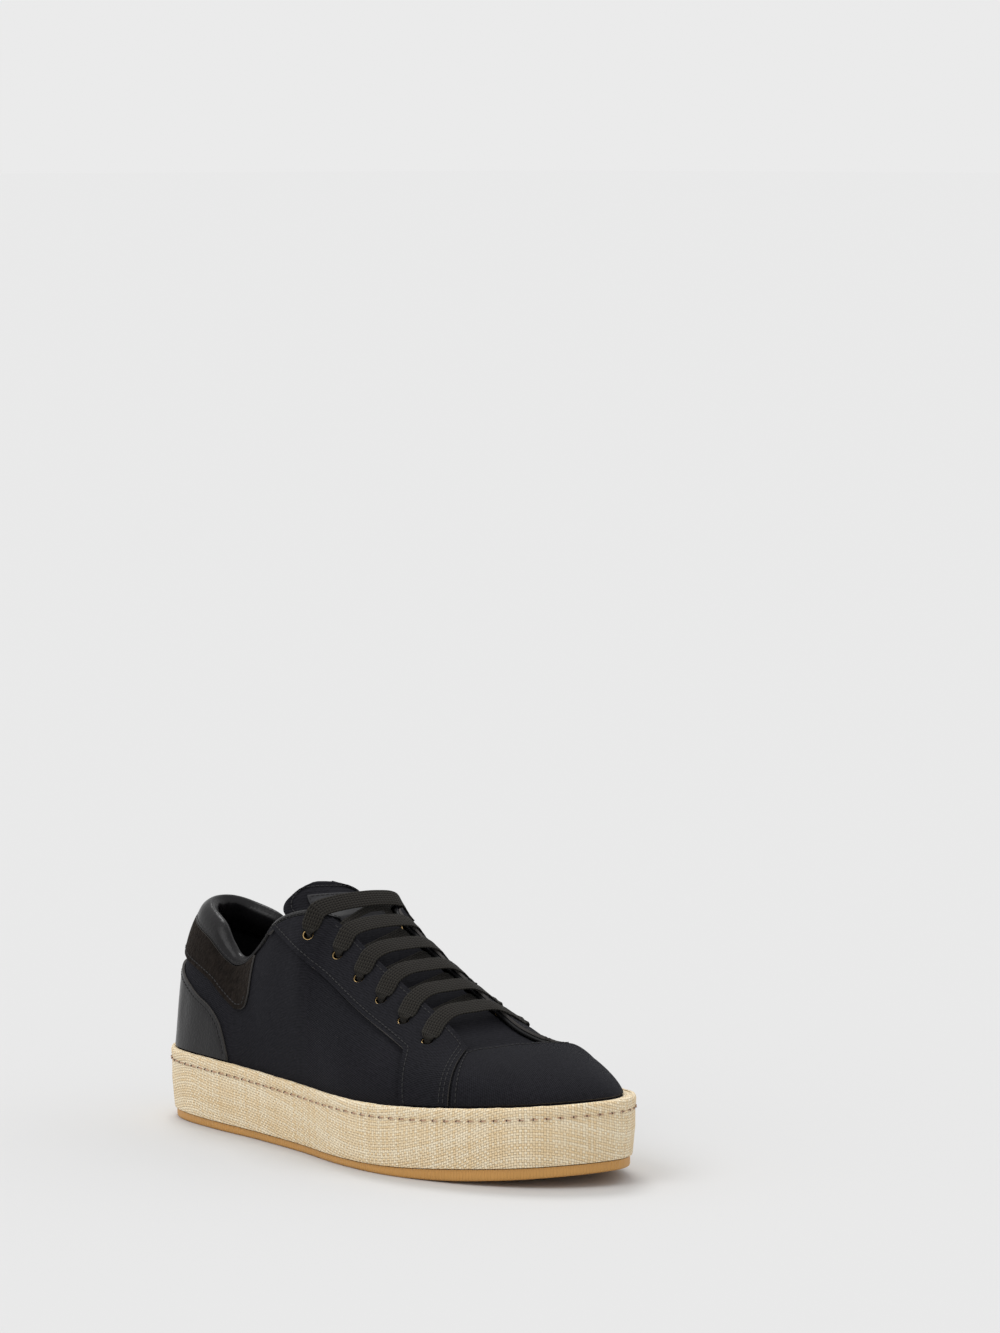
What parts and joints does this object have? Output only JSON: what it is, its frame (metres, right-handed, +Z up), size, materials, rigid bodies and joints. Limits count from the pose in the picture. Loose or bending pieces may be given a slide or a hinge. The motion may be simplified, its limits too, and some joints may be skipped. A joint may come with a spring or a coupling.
{
  "type": "low-top sneaker",
  "caption": "Right low-top lace-up sneaker: dark twill upper with leather and suede panels, padded collar, flat laces, straw-wrapped cup sole on a gum rubber tread",
  "frame": {"origin": "on the floor, under the middle of the sole", "axes": "+X to the toe, +Y to the big-toe side, +Z up"},
  "size_m": [0.2955, 0.1102, 0.1247],
  "materials": {
    "twill": "matt cotton twill",
    "leather_black": "smooth",
    "leather_lining": "smooth",
    "leather_grey": "smooth",
    "suede": "suede",
    "lace_black": "woven",
    "brass": "polished",
    "raffia": "woven straw",
    "gum_rubber": "satin"
  },
  "bodies": {
    "root": {"collar_binding": "leather_black", "eyestay_lateral": "twill", "eyestay_medial": "twill", "heel_counter": "leather_black", "heel_patch": "suede", "insole": "leather_lining", "lace": "lace_black", "midsole": "raffia", "outsole": "gum_rubber", "toe_cap": "twill", "tongue": "twill", "tongue_patch": "leather_grey", "upper": "twill", "eyelet_lateral_1": "brass", "eyelet_lateral_2": "brass", "eyelet_lateral_3": "brass", "eyelet_lateral_4": "brass", "eyelet_lateral_5": "brass", "eyelet_lateral_6": "brass", "eyelet_medial_1": "brass", "eyelet_medial_2": "brass", "eyelet_medial_3": "brass", "eyelet_medial_4": "brass", "eyelet_medial_5": "brass", "eyelet_medial_6": "brass"}
  },
  "joints": []
}
